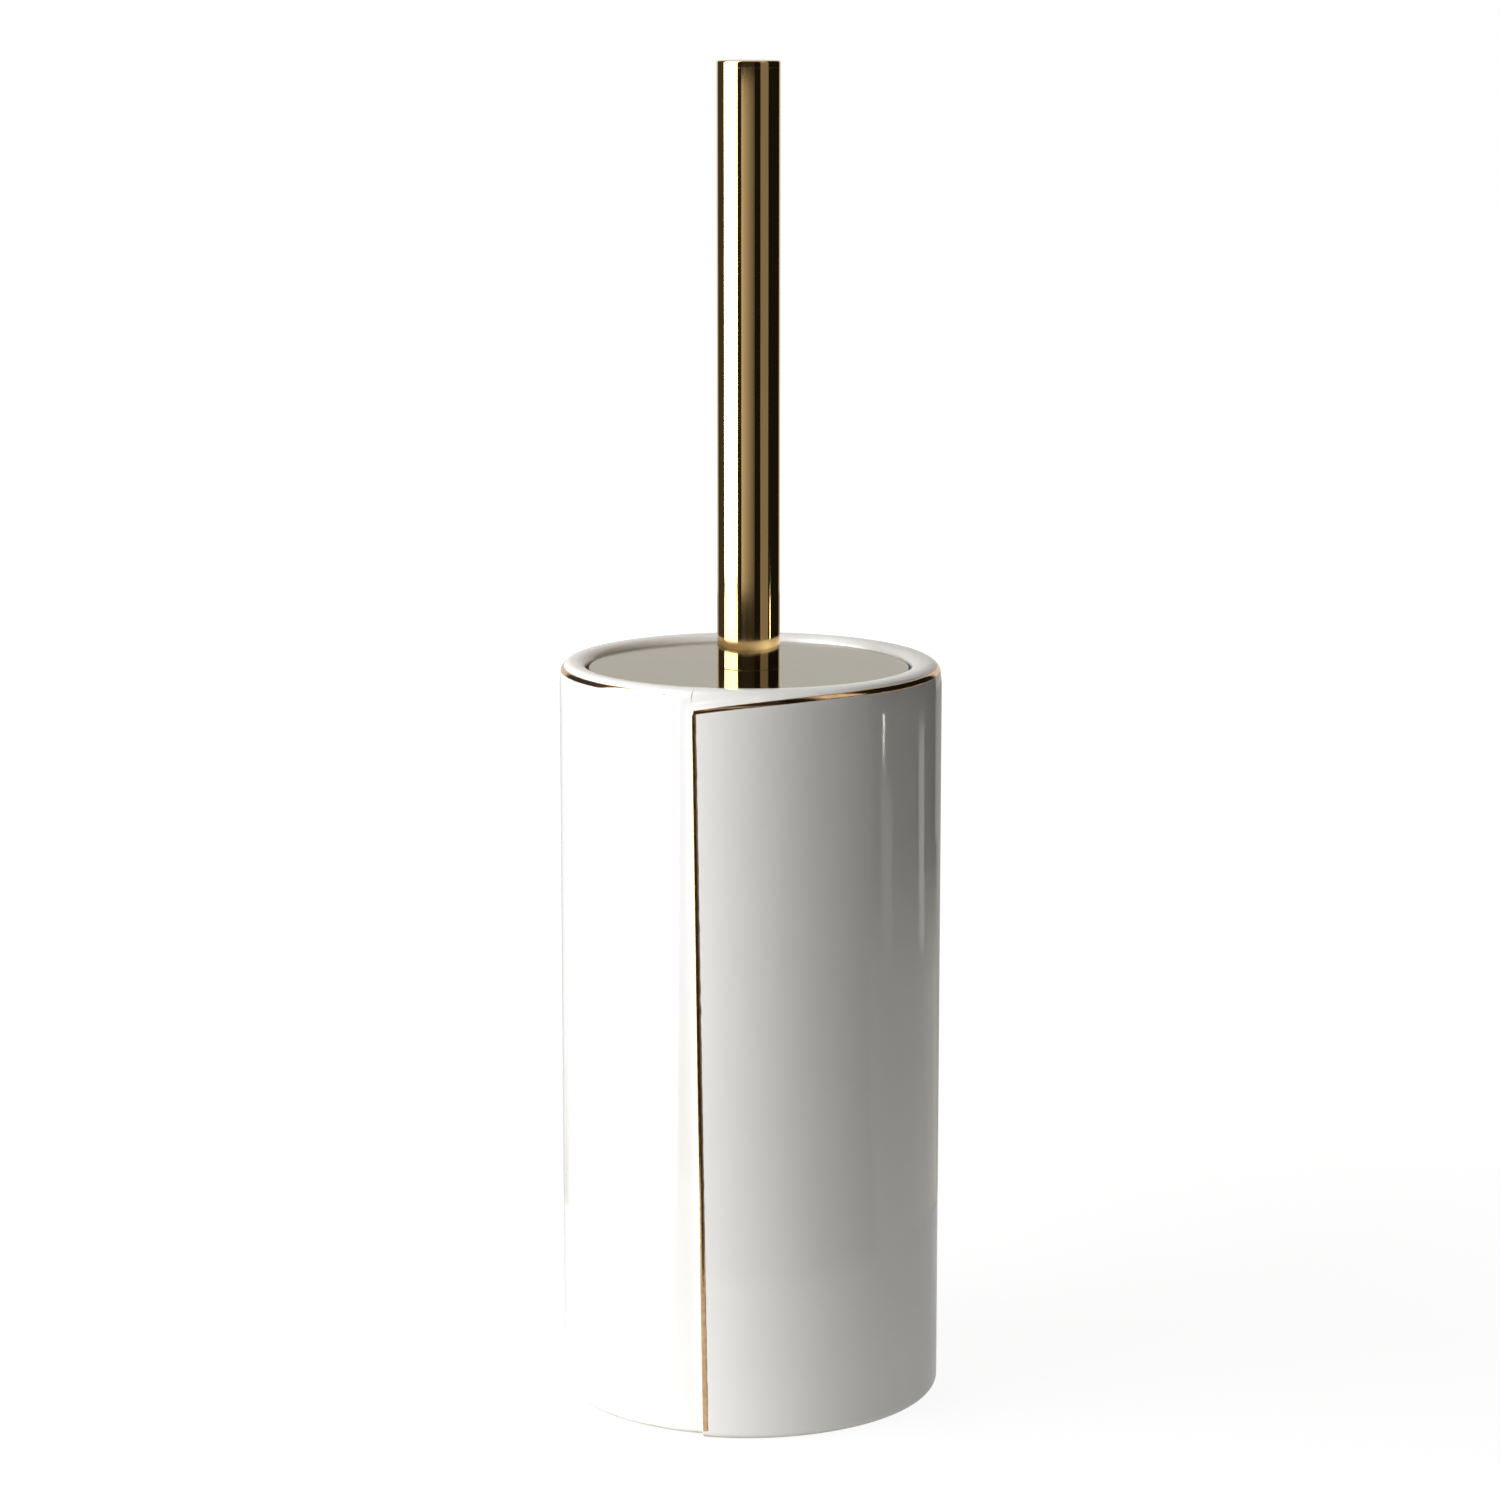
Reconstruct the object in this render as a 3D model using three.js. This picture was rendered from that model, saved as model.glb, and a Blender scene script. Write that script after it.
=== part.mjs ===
// A free-standing toilet brush set: a wrapped porcelain holder, a lift-out drip cup, a metal lid that
// rides on the brush, and the brush itself with a tube handle, a steel stem and a screw-on bristle head.
// Millimetres, +Z up. The origin is on the floor, on the axis of the opening. The front faces -Y.

import * as THREE from 'three';
import { mergeVertices } from 'three/addons/utils/BufferGeometryUtils.js';

// --- driving dimensions ---

const GAP = 0.3; // clearance kept between neighbouring pieces
const ROUND_SIDES = 36;

// porcelain holder
const HOLDER_RADIUS = 55; // mean outer radius of the wall
const HOLDER_HEIGHT = 215;
const HOLDER_WALL = 5.5;
const HOLDER_FLOOR = 6.5; // thickness of the floor above the foot
const RIM_OUTER_ROUND = 4.2;
const RIM_INNER_ROUND = 1.6;
const FOOT_ROUND = 2;
const FOOT_WIDTH = 5;
const FOOT_RECESS = 1.6; // height of the hollow under the floor
const HOLDER_LIFT = 0.4; // the pad holds the foot this far off the floor
const HOLDER_SIDES = 60;

// the wrap: the wall winds round once and laps over its own start at the seam
const SEAM_ANGLE = THREE.MathUtils.degToRad(-17); // from the front towards -X, at the rim
const SEAM_LEAN = THREE.MathUtils.degToRad(3.3); // turns back towards the front at the foot
const LAP_STEP = 2.4; // how far the lap stands proud of the wall under it
const LAP_EDGE = [[0.1, 0.5], [0.5, 0.8], [1.2, 0.95], [2.2, 1]]; // arc from the seam, share of the step

// opening of the holder
const OPENING_RADIUS = 46.5;
const LEDGE_RADIUS = 44;
const LID_DEPTH = 1.8; // the lid's top lies this far below the rim
const LID_SKIRT = 2.5;
const LID_SHEET = 0.8;
const LID_RADIUS = 46;
const LID_HOLE_RADIUS = 6;

// drip cup
const CUP_WALL = 1.6;
const CUP_TOP_RADIUS = 43.4;
const CUP_BOTTOM_RADIUS = 41.6;
const CUP_FLANGE_RADIUS = 46.1;
const CUP_FLANGE = 1.6;
const CUP_BOTTOM = 9.4; // height of the cup's underside above the floor

// handle
const HANDLE_RADIUS = 9;
const HANDLE_WALL = 1;
const HANDLE_TOP = 384.6;
const CAP_HEIGHT = 2;
const CAP_ROUND = 0.9;
const CAP_PLUG_LENGTH = 12;
const INSERT_LENGTH = 24;

// stem and what it carries
const STEM_RADIUS = 4;
const STEM_BOTTOM = 72;
const STEM_GRIP = 18; // length of stem held in the handle's insert
const STEM_CHAMFER = 0.6;
const BUSH_FLANGE_RADIUS = 9;
const BUSH_FLANGE = 1.6;
const CLIP_RADIUS = 8.2;
const CLIP_THICKNESS = 0.8;

// brush head
const CORE_RADIUS = 11;
const CORE_BOTTOM = 24;
const CORE_TOP = 108;
const CORE_NECK_RADIUS = 8.2;
const SOCKET_RADIUS = 6.4;
const SOCKET_TOP = 106;
const ROW_COUNT = 8;
const ROW_PITCH = 9;
const ROW_THICKNESS = 6;
const FIRST_ROW = 34; // height of the lowest row's middle
const BRISTLE_RADIUS = 36.5; // at the widest rows
const BRISTLE_TAPER = 4; // how much shorter the end rows are
const TUFT_BOTTOM = 12;

// --- heights worked out from the above ---

const LID_TOP = HOLDER_HEIGHT - LID_DEPTH;
const SKIRT_BOTTOM = LID_TOP - LID_SKIRT;
const FLANGE_TOP = SKIRT_BOTTOM - GAP;
const LEDGE_TOP = FLANGE_TOP - CUP_FLANGE - GAP;
const FLOOR_TOP = HOLDER_LIFT + HOLDER_FLOOR;
const TUBE_BOTTOM = LID_TOP + GAP;
const TUBE_TOP = HANDLE_TOP - CAP_HEIGHT - GAP;
const TUBE_BORE = HANDLE_RADIUS - HANDLE_WALL;
const STEM_TOP = TUBE_BOTTOM + STEM_GRIP;
const BUSH_FLANGE_TOP = LID_TOP - LID_SHEET - GAP;
const CLIP_TOP = BUSH_FLANGE_TOP - BUSH_FLANGE - GAP;

// --- materials ---

const MATERIALS = {
  porcelain: { color: 0xf4f3ee, roughness: 0.08, metalness: 0 },
  gold: { color: 0xc79a58, roughness: 0.08, metalness: 1 },
  lid_metal: { color: 0xc4b8a6, roughness: 0.1, metalness: 1 },
  steel: { color: 0xb4b4b2, roughness: 0.3, metalness: 1 },
  white_plastic: { color: 0xeeeeea, roughness: 0.45, metalness: 0 },
  black_plastic: { color: 0x1c1c1c, roughness: 0.45, metalness: 0 },
  bristle: { color: 0xf2f2ee, roughness: 0.55, metalness: 0 },
  foam: { color: 0x3a3a3a, roughness: 0.9, metalness: 0 },
};

const finishes = Object.fromEntries(
  Object.entries(MATERIALS).map(([name, look]) => [name, new THREE.MeshStandardMaterial(look)]),
);

// --- shape helpers ---

// Points of an arc about (r, z), angles in degrees, both ends included.
function arc(r, z, radius, from, to, steps) {
  const points = [];
  for (let i = 0; i <= steps; i += 1) {
    const angle = THREE.MathUtils.degToRad(from + ((to - from) * i) / steps);
    points.push([r + radius * Math.cos(angle), z + radius * Math.sin(angle)]);
  }
  return points;
}

// Turns an outline of [radius, height] points about the Z axis. The angle starts at the front, -Y,
// and grows towards +X. The outline runs anticlockwise, with the radius to the right.
function turned(outline, sides = ROUND_SIDES) {
  const points = outline.map(([r, z]) => new THREE.Vector2(Math.max(r, 0), z));
  return new THREE.LatheGeometry(points, sides).rotateX(Math.PI / 2);
}

// A closed ring of rectangular section.
function ring(inner, outer, bottom, top) {
  return turned([[inner, bottom], [outer, bottom], [outer, top], [inner, top], [inner, bottom]]);
}

// One closed body: only positions are kept, and the points shared by neighbouring faces are joined.
function solid(geometry) {
  const bare = geometry.clone();
  bare.deleteAttribute('normal');
  bare.deleteAttribute('uv');
  const joined = mergeVertices(bare, 1e-3);
  joined.computeVertexNormals();
  return joined;
}

function piece(name, finish, geometry) {
  const mesh = new THREE.Mesh(solid(geometry), finishes[finish]);
  mesh.name = name;
  return mesh;
}

// --- porcelain holder ---

// Share of the lap's step at an arc length past the seam: a steep rounded edge, then level.
function lapShare(arcLength) {
  let [fromArc, fromShare] = [0, 0];
  for (const [toArc, toShare] of LAP_EDGE) {
    if (arcLength <= toArc) {
      return fromShare + ((toShare - fromShare) * (arcLength - fromArc)) / (toArc - fromArc);
    }
    [fromArc, fromShare] = [toArc, toShare];
  }
  return 1;
}

// How far the wall stands outside its mean radius, at a turn from 0 to 1 past the seam.
function wrapOffset(turn) {
  const arcLength = turn * 2 * Math.PI * HOLDER_RADIUS;
  return LAP_STEP * (lapShare(arcLength) - turn - 0.5);
}

// Even columns round the holder, with the first few drawn up to the seam to shape the lap's edge.
function columnTurn(column) {
  const edges = LAP_EDGE.map(([arcLength]) => arcLength / (2 * Math.PI * HOLDER_RADIUS));
  if (column === 0) return 0;
  if (column <= edges.length) return edges[column - 1];
  const last = edges[edges.length - 1];
  return last + ((1 - last) * (column - edges.length)) / (HOLDER_SIDES - edges.length);
}

function holderOutline() {
  const foot = HOLDER_LIFT;
  const recess = foot + FOOT_RECESS;
  const innerWall = HOLDER_RADIUS - HOLDER_WALL;
  const footInner = HOLDER_RADIUS - FOOT_ROUND - FOOT_WIDTH;
  return [
    [0, recess],
    [footInner - 1, recess],
    [footInner, foot],
    ...arc(HOLDER_RADIUS - FOOT_ROUND, foot + FOOT_ROUND, FOOT_ROUND, -90, 0, 3),
    [HOLDER_RADIUS, HOLDER_HEIGHT * 0.5],
    ...arc(HOLDER_RADIUS - RIM_OUTER_ROUND, HOLDER_HEIGHT - RIM_OUTER_ROUND, RIM_OUTER_ROUND, 0, 90, 5),
    ...arc(OPENING_RADIUS + RIM_INNER_ROUND, HOLDER_HEIGHT - RIM_INNER_ROUND, RIM_INNER_ROUND, 90, 180, 3),
    [OPENING_RADIUS, LEDGE_TOP],
    [LEDGE_RADIUS, LEDGE_TOP],
    [LEDGE_RADIUS, LEDGE_TOP - 4],
    [innerWall, LEDGE_TOP - 12],
    [innerWall, FLOOR_TOP + 6],
    [innerWall - 6, FLOOR_TOP],
    [0, FLOOR_TOP],
  ];
}

// The turned pot, with its outer skin moved to the wrap's spiral. The inside stays round.
function holderGeometry() {
  const outline = holderOutline();
  const geometry = turned(outline, HOLDER_SIDES);
  const position = geometry.attributes.position;
  for (let i = 0; i < position.count; i += 1) {
    const column = Math.floor(i / outline.length);
    const radius = Math.hypot(position.getX(i), position.getY(i));
    const height = position.getZ(i);
    const turn = columnTurn(column);
    const skin = THREE.MathUtils.smoothstep(radius, OPENING_RADIUS + 1, HOLDER_RADIUS - 3);
    const lean = SEAM_LEAN * (1 - height / HOLDER_HEIGHT);
    const angle = SEAM_ANGLE + lean + turn * 2 * Math.PI;
    const moved = radius + skin * wrapOffset(turn % 1);
    position.setXY(i, moved * Math.sin(angle), -moved * Math.cos(angle));
  }
  return geometry;
}

function holder() {
  const group = new THREE.Group();
  const padRadius = HOLDER_RADIUS - FOOT_ROUND - FOOT_WIDTH - 3;
  group.add(piece('porcelain_holder', 'porcelain', holderGeometry()));
  group.add(piece('base_pad', 'foam', turned([
    [0, 0],
    [padRadius, 0],
    [padRadius, HOLDER_LIFT + FOOT_RECESS - GAP],
    [0, HOLDER_LIFT + FOOT_RECESS - GAP],
  ])));
  return group;
}

// --- drip cup ---

function dripCup() {
  const corner = 5;
  const top = FLANGE_TOP;
  const outline = [
    [0, CUP_BOTTOM],
    ...arc(CUP_BOTTOM_RADIUS - corner, CUP_BOTTOM + corner, corner, -90, 0, 3),
    [CUP_TOP_RADIUS, top - CUP_FLANGE],
    [CUP_FLANGE_RADIUS, top - CUP_FLANGE],
    [CUP_FLANGE_RADIUS, top],
    [CUP_TOP_RADIUS - CUP_WALL, top],
    ...arc(CUP_BOTTOM_RADIUS - corner, CUP_BOTTOM + corner, corner - CUP_WALL, 0, -90, 3),
    [0, CUP_BOTTOM + CUP_WALL],
  ];
  return piece('inner_cup', 'white_plastic', turned(outline));
}

// --- lid ---

function lid() {
  const group = new THREE.Group();
  const under = LID_TOP - LID_SHEET;
  const edge = 0.6;
  group.add(piece('lid_plate', 'lid_metal', turned([
    [LID_HOLE_RADIUS, under],
    [LID_RADIUS - LID_SHEET, under],
    [LID_RADIUS - LID_SHEET, SKIRT_BOTTOM],
    [LID_RADIUS, SKIRT_BOTTOM],
    ...arc(LID_RADIUS - edge, LID_TOP - edge, edge, 0, 90, 2),
    [LID_HOLE_RADIUS, LID_TOP],
    [LID_HOLE_RADIUS, under],
  ])));
  group.add(piece('lid_bush', 'black_plastic', turned([
    [STEM_RADIUS + GAP, BUSH_FLANGE_TOP - BUSH_FLANGE],
    [BUSH_FLANGE_RADIUS, BUSH_FLANGE_TOP - BUSH_FLANGE],
    [BUSH_FLANGE_RADIUS, BUSH_FLANGE_TOP],
    [LID_HOLE_RADIUS - GAP, BUSH_FLANGE_TOP],
    [LID_HOLE_RADIUS - GAP, LID_TOP],
    [STEM_RADIUS + GAP, LID_TOP],
    [STEM_RADIUS + GAP, BUSH_FLANGE_TOP - BUSH_FLANGE],
  ])));
  return group;
}

// --- handle ---

function handle() {
  const group = new THREE.Group();
  const plugRadius = TUBE_BORE - GAP;
  const capBottom = HANDLE_TOP - CAP_HEIGHT;
  group.add(piece('handle_tube', 'gold', ring(TUBE_BORE, HANDLE_RADIUS, TUBE_BOTTOM, TUBE_TOP)));
  group.add(piece('handle_cap', 'gold', turned([
    [0, capBottom - CAP_PLUG_LENGTH],
    [plugRadius, capBottom - CAP_PLUG_LENGTH],
    [plugRadius, capBottom],
    [HANDLE_RADIUS, capBottom],
    ...arc(HANDLE_RADIUS - CAP_ROUND, HANDLE_TOP - CAP_ROUND, CAP_ROUND, 0, 90, 3),
    [0, HANDLE_TOP],
  ])));
  group.add(piece('handle_insert', 'white_plastic',
    ring(STEM_RADIUS + GAP, plugRadius, TUBE_BOTTOM, TUBE_BOTTOM + INSERT_LENGTH)));
  return group;
}

// --- stem ---

function stem() {
  const group = new THREE.Group();
  const narrow = STEM_RADIUS - STEM_CHAMFER;
  group.add(piece('stem', 'steel', turned([
    [0, STEM_BOTTOM],
    [narrow, STEM_BOTTOM],
    [STEM_RADIUS, STEM_BOTTOM + STEM_CHAMFER],
    [STEM_RADIUS, STEM_TOP - STEM_CHAMFER],
    [narrow, STEM_TOP],
    [0, STEM_TOP],
  ])));
  group.add(piece('retaining_clip', 'steel',
    ring(STEM_RADIUS + GAP, CLIP_RADIUS, CLIP_TOP - CLIP_THICKNESS, CLIP_TOP)));
  return group;
}

// --- brush head ---

// The end rows are shorter, so the head is barrel-shaped.
function rowRadius(row) {
  const fromMiddle = (2 * row) / (ROW_COUNT - 1) - 1;
  return BRISTLE_RADIUS - BRISTLE_TAPER * fromMiddle ** 4;
}

function brushHead() {
  const group = new THREE.Group();
  const bore = SOCKET_RADIUS + GAP;
  const boreFloor = STEM_BOTTOM - 2;
  group.add(piece('brush_core', 'white_plastic', turned([
    [0, CORE_BOTTOM],
    [CORE_RADIUS - 3, CORE_BOTTOM],
    [CORE_RADIUS, CORE_BOTTOM + 6],
    [CORE_RADIUS, CORE_TOP - 6],
    [CORE_NECK_RADIUS, CORE_TOP],
    [bore, CORE_TOP],
    [bore, boreFloor],
    [0, boreFloor],
  ])));
  group.add(piece('head_socket', 'steel',
    ring(STEM_RADIUS + GAP, SOCKET_RADIUS, boreFloor + GAP, SOCKET_TOP)));
  for (let row = 0; row < ROW_COUNT; row += 1) {
    const middle = FIRST_ROW + row * ROW_PITCH;
    group.add(piece(`bristle_row_${row + 1}`, 'bristle',
      ring(CORE_RADIUS + GAP, rowRadius(row), middle - ROW_THICKNESS / 2, middle + ROW_THICKNESS / 2)));
  }
  group.add(piece('bristle_tip_tuft', 'bristle', turned([
    [0, TUFT_BOTTOM],
    [14, TUFT_BOTTOM + 2],
    [24, TUFT_BOTTOM + 8],
    [27, TUFT_BOTTOM + 15],
    [20, FIRST_ROW - ROW_THICKNESS / 2 - 1.5],
    [CORE_RADIUS - 2.5, CORE_BOTTOM - GAP],
    [0, CORE_BOTTOM - GAP],
  ])));
  return group;
}

// --- the whole set ---

const brushSet = new THREE.Group();
brushSet.name = 'toilet_brush_set';
brushSet.add(holder(), dripCup(), lid(), handle(), stem(), brushHead());

export default brushSet;
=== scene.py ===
import math
import random

import bmesh
import bpy
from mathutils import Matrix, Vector, noise


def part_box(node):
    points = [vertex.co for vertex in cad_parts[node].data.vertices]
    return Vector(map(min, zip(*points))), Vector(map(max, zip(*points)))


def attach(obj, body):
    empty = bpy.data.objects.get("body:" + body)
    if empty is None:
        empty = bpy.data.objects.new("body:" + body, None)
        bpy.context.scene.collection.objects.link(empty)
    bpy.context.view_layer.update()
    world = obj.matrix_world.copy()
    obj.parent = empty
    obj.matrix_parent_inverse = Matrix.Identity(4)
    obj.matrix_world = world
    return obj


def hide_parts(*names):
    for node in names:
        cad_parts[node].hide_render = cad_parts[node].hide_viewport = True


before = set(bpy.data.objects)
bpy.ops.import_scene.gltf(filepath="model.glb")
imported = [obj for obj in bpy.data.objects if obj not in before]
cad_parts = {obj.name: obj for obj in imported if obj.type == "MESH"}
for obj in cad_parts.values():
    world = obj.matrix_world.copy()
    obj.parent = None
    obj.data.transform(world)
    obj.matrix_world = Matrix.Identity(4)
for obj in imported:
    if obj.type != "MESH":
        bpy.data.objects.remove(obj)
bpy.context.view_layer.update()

MM = 0.001
SIDES = 144
SEAT = 0.01 * MM  # hairline left between pieces that sit on each other
TAU = 2 * math.pi

# --- the wrapped holder's own dimensions, as in the CAD ---

HOLDER_LOW, HOLDER_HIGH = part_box("porcelain_holder")
FOOT = HOLDER_LOW.z
RIM = HOLDER_HIGH.z
MEAN_RADIUS = 55 * MM
SEAM_ANGLE = math.radians(-17)
SEAM_LEAN = math.radians(3.3)
LAP_STEP = 2.4 * MM
LAP_ROUND = 0.55 * MM
OPENING_RADIUS = 46.5 * MM
INNER_RADIUS = 49.5 * MM
FOOT_ROUND = 2 * MM
FOOT_RECESS = 1.6 * MM  # height of the hollow under the floor
FLOOR_TOP = 6.5 * MM  # of the pot's floor, above its foot
FLOOR_ROUND = 6 * MM
LEDGE_DEPTH = 1.9 * MM  # from the top of the cup's flange to the ledge it hangs on
UNEVEN = 0.05 * MM  # how far the thrown wall wanders
STEM_BORE = 4.3 * MM  # of everything that the stem goes through

# --- the gold line ---

LINE_DEPTH = 1.9 * MM  # below the rim, away from the seam
CORNER_DROP = 4.3 * MM  # how much lower it starts at the lap's corner
CORNER_TURN = 62 / 360  # the share of a turn in which it climbs back
LINE_WIDTH = 1.75 * MM
LINE_FADE, LINE_END = 0.955, 0.978  # turns between which it fades out on the side under the lap
LINE_CROWN = 0.04 * MM
LINE_BURIED = 0.12 * MM


def smoothstep(low, high, x):
    t = min(max((x - low) / (high - low), 0.0), 1.0)
    return t * t * (3 - 2 * t)


# --- mesh building ---


def mesh_object(name, verts, faces, material, smooth=True):
    """A named object of one closed mesh, with its faces turned outward."""
    mesh = bpy.data.meshes.new(name)
    mesh.from_pydata([tuple(v) for v in verts], [], faces)
    bm = bmesh.new()
    bm.from_mesh(mesh)
    bmesh.ops.recalc_face_normals(bm, faces=bm.faces)
    bm.to_mesh(mesh)
    bm.free()
    mesh.polygons.foreach_set("use_smooth", [smooth] * len(mesh.polygons))
    mesh.materials.append(material)
    obj = bpy.data.objects.new(name, mesh)
    bpy.context.scene.collection.objects.link(obj)
    return obj


def loft(sections, ring_across=True, ring_along=False):
    """Vertices and faces that join sections, which are lists of as many points each."""
    count = len(sections[0])
    verts = [p for section in sections for p in section]
    faces = []
    rows = len(sections) if ring_along else len(sections) - 1
    across = count if ring_across else count - 1
    for i in range(rows):
        a, b = i * count, ((i + 1) % len(sections)) * count
        for j in range(across):
            k = (j + 1) % count
            faces.append((a + j, a + k, b + k, b + j))
    return verts, faces


def turned_mesh(columns, poles):
    """Closes a ring of columns. Where poles is true, each column starts and ends on the axis."""
    verts, faces = loft(columns, ring_across=not poles, ring_along=True)
    if poles:
        count, total = len(columns[0]), len(columns)
        for end in (0, count - 1):
            centre = len(verts)
            verts.append((0.0, 0.0, columns[0][end][2]))
            for i in range(total):
                faces.append((centre, i * count + end, ((i + 1) % total) * count + end))
    return verts, faces


def lathe(profile, sides=SIDES):
    """Turns a closed profile of (radius, height) about Z, or one that starts and ends on the axis."""
    poles = profile[0][0] < 1e-9
    points = profile[1:-1] if poles else profile
    columns = []
    for i in range(sides):
        angle = TAU * i / sides
        columns.append([(r * math.sin(angle), -r * math.cos(angle), z) for r, z in points])
    return turned_mesh(columns, poles)


def rounded(corners, steps=5):
    """A profile through (radius, height, fillet) corners, each rounded by its fillet."""
    closed = corners[0][0] > 1e-9
    count = len(corners)
    profile = []
    for i, (r, z, fillet) in enumerate(corners):
        at = Vector((r, z))
        if fillet <= 0 or (not closed and i in (0, count - 1)):
            profile.append((r, z))
            continue
        before = Vector(corners[i - 1][:2]) - at
        after = Vector(corners[(i + 1) % count][:2]) - at
        angle = before.angle(after)
        reach = min(fillet / math.tan(angle / 2), 0.49 * before.length, 0.49 * after.length)
        first, last = at + before.normalized() * reach, at + after.normalized() * reach
        for k in range(steps + 1):
            t = k / steps
            p = first * (1 - t) ** 2 + at * 2 * t * (1 - t) + last * t**2
            profile.append((p.x, p.y))
    return profile


def flat_normals(obj):
    """Lets the wide faces set the shading, so that fillets stay crisp."""
    weighted = obj.modifiers.new("weighted_normals", "WEIGHTED_NORMAL")
    weighted.mode = "FACE_AREA"
    weighted.weight = 50
    return obj


def placed(obj, body, slot, *nodes):
    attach(obj, body)
    if nodes:
        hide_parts(*nodes)
    return obj


def turned_piece(name, corners, material, body, slot, *nodes, sides=SIDES):
    """A turned piece with filleted corners, given in metres."""
    obj = mesh_object(name, *lathe(rounded(corners), sides), material)
    return placed(flat_normals(obj), body, slot, *nodes)


# --- materials ---


class Finish:
    """A material with its Principled shader and short ways to add procedural nodes."""

    def __init__(self, name, color, roughness, metallic=0.0, **sockets):
        self.material = bpy.data.materials.new(name)
        self.material.use_nodes = True
        self.tree = self.material.node_tree
        self.shader = self.tree.nodes["Principled BSDF"]
        self.set(self.shader, "Base Color", (*color, 1))
        self.set(self.shader, "Roughness", roughness)
        self.set(self.shader, "Metallic", metallic)
        for socket, value in sockets.items():
            self.set(self.shader, socket.replace("_", " "), value)
        self.place = self.add("ShaderNodeTexCoord").outputs["Object"]

    @staticmethod
    def set(node, socket, value):
        node.inputs[socket].default_value = value

    def add(self, kind, **values):
        node = self.tree.nodes.new(kind)
        for name, value in values.items():
            setattr(node, name, value)
        return node

    def link(self, output, target):
        self.tree.links.new(output, target)

    def stretched(self, scale):
        """The object's coordinates, scaled by three factors, so that a pattern is drawn out."""
        mapping = self.add("ShaderNodeMapping")
        self.set(mapping, "Scale", scale)
        self.link(self.place, mapping.inputs["Vector"])
        return mapping.outputs["Vector"]

    def noise(self, scale, detail=3.0, vector=None, roughness=0.5):
        node = self.add("ShaderNodeTexNoise")
        self.set(node, "Scale", scale)
        self.set(node, "Detail", detail)
        self.set(node, "Roughness", roughness)
        self.link(vector or self.place, node.inputs["Vector"])
        return node.outputs["Fac"]

    def remap(self, value, from_low, from_high, to_low, to_high):
        node = self.add("ShaderNodeMapRange")
        for socket, number in zip(
            ("From Min", "From Max", "To Min", "To Max"), (from_low, from_high, to_low, to_high)
        ):
            self.set(node, socket, number)
        self.link(value, node.inputs["Value"])
        return node.outputs["Result"]

    def math(self, operation, a, b):
        node = self.add("ShaderNodeMath", operation=operation)
        for socket, value in zip(node.inputs, (a, b)):
            if isinstance(value, (int, float)):
                socket.default_value = value
            else:
                self.link(value, socket)
        return node.outputs["Value"]

    def mix(self, factor, first, second):
        """A colour between two, each of which is a colour or a socket."""
        node = self.add("ShaderNodeMix", data_type="RGBA")
        self.link(factor, node.inputs["Factor"])
        for socket, value in ((node.inputs[6], first), (node.inputs[7], second)):
            if isinstance(value, tuple):
                socket.default_value = (*value, 1)
            else:
                self.link(value, socket)
        return node.outputs[2]

    def color(self, output):
        self.link(output, self.shader.inputs["Base Color"])

    def roughness(self, output):
        self.link(output, self.shader.inputs["Roughness"])

    def bump(self, height, distance, strength=1.0):
        """Adds a bump of that depth in metres on top of the ones before it."""
        node = self.add("ShaderNodeBump")
        self.set(node, "Distance", distance)
        self.set(node, "Strength", strength)
        self.link(height, node.inputs["Height"])
        normal = self.shader.inputs["Normal"]
        if normal.is_linked:
            self.link(normal.links[0].from_socket, node.inputs["Normal"])
        self.link(node.outputs["Normal"], normal)


def porcelain_finish():
    """White glaze, with a soft wave and orange peel, and the bare clay of the foot ring."""
    f = Finish("white_glaze", (0.86, 0.85, 0.82), 0.07, IOR=1.52)
    cloud = f.noise(14, 2)
    glaze = f.mix(f.remap(cloud, 0.35, 0.65, 0, 1), (0.845, 0.84, 0.824), (0.875, 0.87, 0.854))
    height = f.add("ShaderNodeSeparateXYZ")
    f.link(f.place, height.inputs["Vector"])
    grit = f.noise(2600, 2)
    edge = f.math("ADD", height.outputs["Z"], f.remap(f.noise(160, 3), 0, 1, -0.0003, 0.0003))
    bare = f.remap(edge, FOOT + 1.1 * MM, FOOT + 0.6 * MM, 0, 1)
    clay = f.mix(grit, (0.55, 0.49, 0.40), (0.72, 0.67, 0.58))
    f.color(f.mix(bare, glaze, clay))
    glossy = f.remap(f.noise(45, 3), 0.3, 0.7, 0.055, 0.09)
    f.roughness(f.math("ADD", glossy, f.math("MULTIPLY", bare, 0.75)))
    f.bump(f.noise(70, 1), 0.05 * MM)
    f.bump(f.noise(750, 2), 0.0025 * MM)
    f.bump(f.math("MULTIPLY", grit, bare), 0.1 * MM)
    return f.material


def gold_finish():
    """Polished gold plate: faint lengthwise polishing lines and a trace of handling."""
    f = Finish("polished_gold", (0.87, 0.60, 0.27), 0.06, metallic=1.0)
    tone = f.remap(f.noise(30, 3), 0.3, 0.7, 0, 1)
    f.color(f.mix(tone, (0.85, 0.58, 0.255), (0.89, 0.62, 0.285)))
    lines = f.noise(1, 3, vector=f.stretched((2600, 2600, 25)))
    smudge = f.remap(f.noise(55, 4, roughness=0.6), 0.55, 0.8, 0, 0.05)
    f.roughness(f.math("ADD", f.remap(lines, 0.3, 0.7, 0.035, 0.065), smudge))
    f.bump(lines, 0.0012 * MM)
    return f.material


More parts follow.
